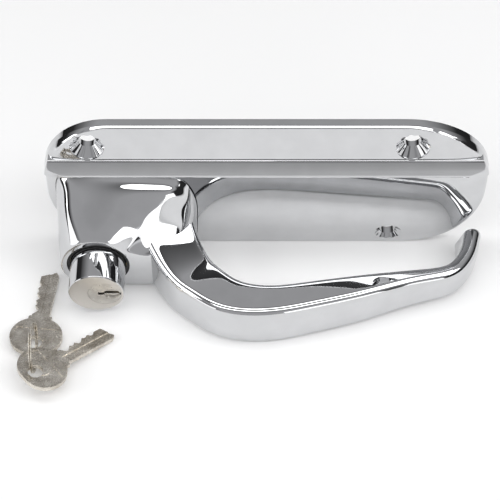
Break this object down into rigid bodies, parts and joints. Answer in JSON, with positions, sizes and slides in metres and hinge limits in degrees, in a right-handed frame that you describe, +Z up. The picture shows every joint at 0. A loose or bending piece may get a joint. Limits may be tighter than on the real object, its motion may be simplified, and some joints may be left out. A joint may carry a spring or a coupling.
{
  "type": "pushbutton door handle",
  "caption": "Chromed pushbutton door handle: crowned back plate with a rib, fixed pull grip, keyed lock in a sprung button with a tail striker, and loose keys on a ring.",
  "frame": {"origin": "middle of the plate's mounting face, half-way along the plate and half-way up it", "axes": "+X along the plate towards the grip's tip, +Y out of the mounting face into the door, +Z up across the plate towards its rib"},
  "size_m": [0.1901, 0.1025, 0.0711],
  "materials": {
    "chrome": "polished",
    "satin_nickel": "satin",
    "steel": "zinc plated",
    "spring_steel": "bright drawn",
    "brass": "plain",
    "rubber": "matt",
    "key_metal": "worn nickel silver"
  },
  "bodies": {
    "handle": {"escutcheon_plate": "chrome", "grip_casting": "chrome", "grip_screw_1": "steel", "grip_screw_2": "steel", "grip_screw_3": "steel", "guide_bush": "brass", "wiper_seal": "rubber", "guide_screw": "steel", "return_spring": "spring_steel"},
    "button": {"button_barrel": "chrome"},
    "plug": {"lock_plug": "satin_nickel", "wafer_1": "brass", "wafer_2": "brass", "wafer_3": "brass", "wafer_4": "brass", "plug_clip": "steel", "tail_shaft": "steel", "striker_arm": "steel", "striker_screw": "steel", "striker_nut": "steel"},
    "keys": {"key_one": "key_metal", "key_two": "key_metal", "key_ring": "key_metal"}
  },
  "joints": [
    {"name": "button_push", "type": "slide", "parent": "handle", "child": "button", "axis": [0, 1, 0], "range_m": [0, 0.007], "stiffness_N_per_m": 900, "springref_m": -0.006, "deforming": ["return_spring"]},
    {"name": "plug_turn", "type": "hinge", "parent": "button", "child": "plug", "pos_m": [-0.0643, -0.042, -0.0209], "axis": [0, 1, 0], "range_deg": [0, 90]},
    {"name": "keys_lift", "type": "slide", "parent": "handle", "child": "keys", "axis": [0, 0, 1], "range_m": [0, 0.12]}
  ]
}
